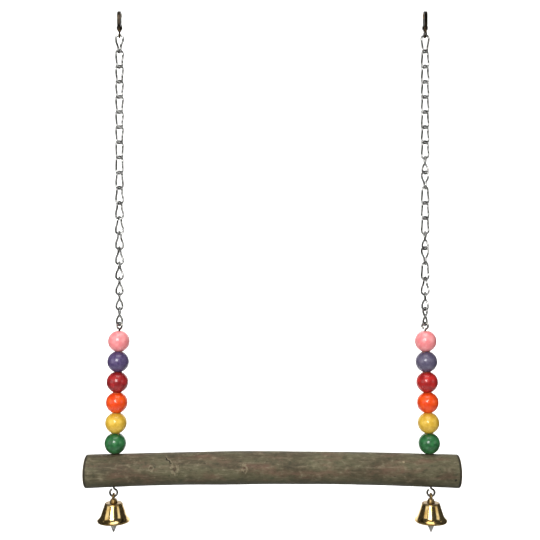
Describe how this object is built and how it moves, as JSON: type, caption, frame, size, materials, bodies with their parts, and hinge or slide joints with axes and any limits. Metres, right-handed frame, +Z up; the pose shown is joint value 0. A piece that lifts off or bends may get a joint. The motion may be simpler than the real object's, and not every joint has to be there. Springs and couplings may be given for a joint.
{
  "type": "bird swing",
  "caption": "Bowed wooden bird perch hung from two twisted-wire chains with swivelling snap hooks, with painted beads on a wire hanger above each end and a small brass bell below.",
  "frame": {"origin": "Midpoint of the straight line through the bowls of the two hooks, where a bar would hang the swing.", "axes": "+X along the perch to the right as seen in the picture, +Y away from the viewer, +Z up."},
  "size_m": [0.345, 0.0304, 0.4813],
  "materials": {
    "perch_wood": "dry weathered grey-brown branch, bark removed, fine lengthwise grain",
    "pink_lacquer": "glossy pink lacquer",
    "violet_lacquer": "glossy violet lacquer",
    "red_lacquer": "glossy red lacquer",
    "orange_lacquer": "glossy orange lacquer",
    "yellow_lacquer": "glossy yellow lacquer",
    "green_lacquer": "glossy green lacquer",
    "chain_wire": "bright nickel-plated steel wire",
    "rod_wire": "bright plated steel wire",
    "hook_metal": "dark polished gunmetal plating",
    "spring_steel": "plain spring steel",
    "bell_brass": "polished brass",
    "clapper_steel": "turned steel"
  },
  "bodies": {
    "swivel_eyes": {"left_swivel_eye": "hook_metal", "right_swivel_eye": "hook_metal"},
    "left_hook": {"left_hook_body": "hook_metal", "left_gate_pin": "spring_steel", "left_gate_spring": "spring_steel"},
    "left_gate": {"left_hook_gate": "hook_metal"},
    "left_top_link": {"left_top_link": "chain_wire"},
    "left_chain": {"left_links_02_03": "chain_wire", "left_links_04_05": "chain_wire", "left_links_06_07": "chain_wire", "left_links_08_09": "chain_wire", "left_links_10_11": "chain_wire", "left_links_12_13": "chain_wire", "left_links_14_15": "chain_wire", "left_links_16_17": "chain_wire", "left_links_18_19": "chain_wire"},
    "right_hook": {"right_hook_body": "hook_metal", "right_gate_pin": "spring_steel", "right_gate_spring": "spring_steel"},
    "right_gate": {"right_hook_gate": "hook_metal"},
    "right_top_link": {"right_top_link": "chain_wire"},
    "right_chain": {"right_links_02_03": "chain_wire", "right_links_04_05": "chain_wire", "right_links_06_07": "chain_wire", "right_links_08_09": "chain_wire", "right_links_10_11": "chain_wire", "right_links_12_13": "chain_wire", "right_links_14_15": "chain_wire", "right_links_16_17": "chain_wire", "right_links_18_19": "chain_wire"},
    "perch": {"perch": "perch_wood", "left_rod": "rod_wire", "right_rod": "rod_wire"},
    "left_pink_bead": {"left_pink_bead": "pink_lacquer"},
    "left_violet_bead": {"left_violet_bead": "violet_lacquer"},
    "left_red_bead": {"left_red_bead": "red_lacquer"},
    "left_orange_bead": {"left_orange_bead": "orange_lacquer"},
    "left_yellow_bead": {"left_yellow_bead": "yellow_lacquer"},
    "left_green_bead": {"left_green_bead": "green_lacquer"},
    "left_bell": {"left_bell_shell": "bell_brass", "left_bell_knob": "bell_brass", "left_clapper_eye": "clapper_steel"},
    "left_clapper": {"left_clapper": "clapper_steel"},
    "right_pink_bead": {"right_pink_bead": "pink_lacquer"},
    "right_violet_bead": {"right_violet_bead": "violet_lacquer"},
    "right_red_bead": {"right_red_bead": "red_lacquer"},
    "right_orange_bead": {"right_orange_bead": "orange_lacquer"},
    "right_yellow_bead": {"right_yellow_bead": "yellow_lacquer"},
    "right_green_bead": {"right_green_bead": "green_lacquer"},
    "right_bell": {"right_bell_shell": "bell_brass", "right_bell_knob": "bell_brass", "right_clapper_eye": "clapper_steel"},
    "right_clapper": {"right_clapper": "clapper_steel"}
  },
  "joints": [
    {"name": "left_hook_swivel", "type": "hinge", "parent": "swivel_eyes", "child": "left_hook", "pos_m": [-0.14134, 0, -0.012], "axis": [0, 0, 1], "continuous": true},
    {"name": "left_gate_open", "type": "hinge", "parent": "left_hook", "child": "left_gate", "pos_m": [-0.14134, 0.0035, -0.0076], "axis": [1, 0, 0], "range_deg": [0, 28], "stiffness_Nm_per_rad": 0.01, "springref_deg": -17.19, "deforming": ["left_gate_spring"]},
    {"name": "right_hook_swivel", "type": "hinge", "parent": "swivel_eyes", "child": "right_hook", "pos_m": [0.14134, 0, -0.012], "axis": [0, 0, 1], "continuous": true},
    {"name": "right_gate_open", "type": "hinge", "parent": "right_hook", "child": "right_gate", "pos_m": [0.14134, 0.0035, -0.0076], "axis": [1, 0, 0], "range_deg": [0, 28], "stiffness_Nm_per_rad": 0.01, "springref_deg": -17.19, "deforming": ["right_gate_spring"]},
    {"name": "left_swing", "type": "hinge", "parent": "swivel_eyes", "child": "left_top_link", "pos_m": [-0.14134, 0, -0.01705], "axis": [1, 0, 0], "range_deg": [-40, 40]},
    {"name": "right_swing", "type": "hinge", "parent": "swivel_eyes", "child": "right_top_link", "pos_m": [0.14134, 0, -0.01705], "axis": [1, 0, 0], "range_deg": [-40, 40]},
    {"name": "left_sway", "type": "hinge", "parent": "left_top_link", "child": "left_chain", "pos_m": [-0.14134, 0, -0.03218], "axis": [0, 1, 0], "range_deg": [-20, 20]},
    {"name": "perch_level", "type": "hinge", "parent": "left_chain", "child": "perch", "pos_m": [-0.14134, 0, -0.28418], "axis": [0, 1, 0], "range_deg": [-20, 20]},
    {"name": "right_sway", "type": "hinge", "parent": "perch", "child": "right_chain", "pos_m": [0.14134, 0, -0.28418], "axis": [0, 1, 0], "range_deg": [-20, 20]},
    {"name": "left_pink_spin", "type": "hinge", "parent": "perch", "child": "left_pink_bead", "pos_m": [-0.146, 0, -0.41952], "axis": [0.0349, 0, 0.9994], "continuous": true},
    {"name": "left_violet_spin", "type": "hinge", "parent": "perch", "child": "left_violet_bead", "pos_m": [-0.146, 0, -0.41952], "axis": [0.0349, 0, 0.9994], "continuous": true},
    {"name": "left_red_spin", "type": "hinge", "parent": "perch", "child": "left_red_bead", "pos_m": [-0.146, 0, -0.41952], "axis": [0.0349, 0, 0.9994], "continuous": true},
    {"name": "left_orange_spin", "type": "hinge", "parent": "perch", "child": "left_orange_bead", "pos_m": [-0.146, 0, -0.41952], "axis": [0.0349, 0, 0.9994], "continuous": true},
    {"name": "left_yellow_spin", "type": "hinge", "parent": "perch", "child": "left_yellow_bead", "pos_m": [-0.146, 0, -0.41952], "axis": [0.0349, 0, 0.9994], "continuous": true},
    {"name": "left_green_spin", "type": "hinge", "parent": "perch", "child": "left_green_bead", "pos_m": [-0.146, 0, -0.41952], "axis": [0.0349, 0, 0.9994], "continuous": true},
    {"name": "left_bell_swing", "type": "hinge", "parent": "perch", "child": "left_bell", "pos_m": [-0.14672, 0, -0.44356], "axis": [1, 0, 0], "range_deg": [-60, 60]},
    {"name": "left_clapper_swing", "type": "hinge", "parent": "left_bell", "child": "left_clapper", "pos_m": [-0.14672, 0, -0.45306], "axis": [0, 1, 0], "range_deg": [-36, 36]},
    {"name": "right_pink_spin", "type": "hinge", "parent": "perch", "child": "right_pink_bead", "pos_m": [0.146, 0, -0.41952], "axis": [-0.0349, 0, 0.9994], "continuous": true},
    {"name": "right_violet_spin", "type": "hinge", "parent": "perch", "child": "right_violet_bead", "pos_m": [0.146, 0, -0.41952], "axis": [-0.0349, 0, 0.9994], "continuous": true},
    {"name": "right_red_spin", "type": "hinge", "parent": "perch", "child": "right_red_bead", "pos_m": [0.146, 0, -0.41952], "axis": [-0.0349, 0, 0.9994], "continuous": true},
    {"name": "right_orange_spin", "type": "hinge", "parent": "perch", "child": "right_orange_bead", "pos_m": [0.146, 0, -0.41952], "axis": [-0.0349, 0, 0.9994], "continuous": true},
    {"name": "right_yellow_spin", "type": "hinge", "parent": "perch", "child": "right_yellow_bead", "pos_m": [0.146, 0, -0.41952], "axis": [-0.0349, 0, 0.9994], "continuous": true},
    {"name": "right_green_spin", "type": "hinge", "parent": "perch", "child": "right_green_bead", "pos_m": [0.146, 0, -0.41952], "axis": [-0.0349, 0, 0.9994], "continuous": true},
    {"name": "right_bell_swing", "type": "hinge", "parent": "perch", "child": "right_bell", "pos_m": [0.14672, 0, -0.44356], "axis": [1, 0, 0], "range_deg": [-60, 60]},
    {"name": "right_clapper_swing", "type": "hinge", "parent": "right_bell", "child": "right_clapper", "pos_m": [0.14672, 0, -0.45306], "axis": [0, 1, 0], "range_deg": [-36, 36]}
  ],
  "couplings": [
    {"joint": "right_swing", "follows": "left_swing", "ratio": 1},
    {"joint": "perch_level", "follows": "left_sway", "ratio": -1},
    {"joint": "right_sway", "follows": "left_sway", "ratio": 1}
  ]
}
